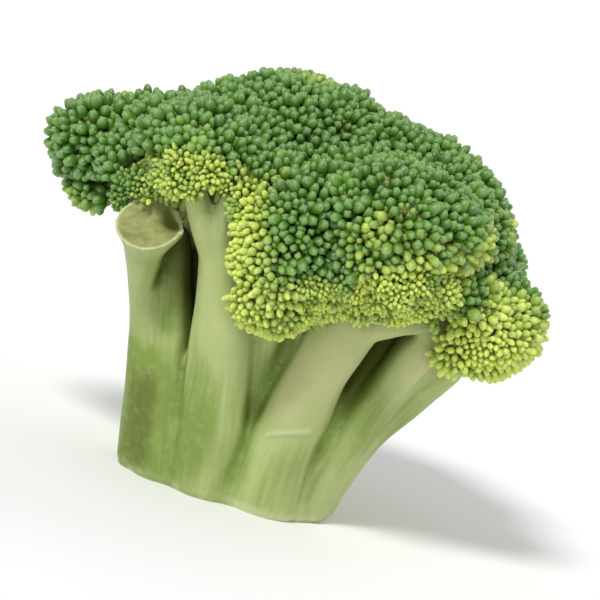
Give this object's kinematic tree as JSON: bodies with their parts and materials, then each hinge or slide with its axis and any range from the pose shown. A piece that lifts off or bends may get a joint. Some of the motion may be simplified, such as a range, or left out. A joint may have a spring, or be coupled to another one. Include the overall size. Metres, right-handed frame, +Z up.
{
  "type": "broccoli head",
  "caption": "Broccoli head cut on a short forked stalk, with rounded clusters of green flower buds, standing on its flat cut face.",
  "frame": {"origin": "middle of the flat cut face that the stalk stands on", "axes": "+Z up along the stalk, +X to the right and +Y to the back, seen from the side that the picture shows"},
  "size_m": [0.0875, 0.0722, 0.0694],
  "materials": {
    "stem": "fresh plant stem, satin with a faint waxy bloom",
    "buds": "closed flower buds with a matt waxy bloom"
  },
  "bodies": {
    "root": {"stalk": "stem", "buds_top": "buds", "buds_top_right": "buds", "buds_top_left": "buds", "buds_left": "buds", "buds_front_left": "buds", "buds_front": "buds", "buds_front_right": "buds", "buds_right": "buds", "buds_right_back": "buds", "buds_back_right": "buds", "buds_back": "buds", "buds_back_left": "buds", "buds_left_back": "buds"}
  },
  "joints": []
}
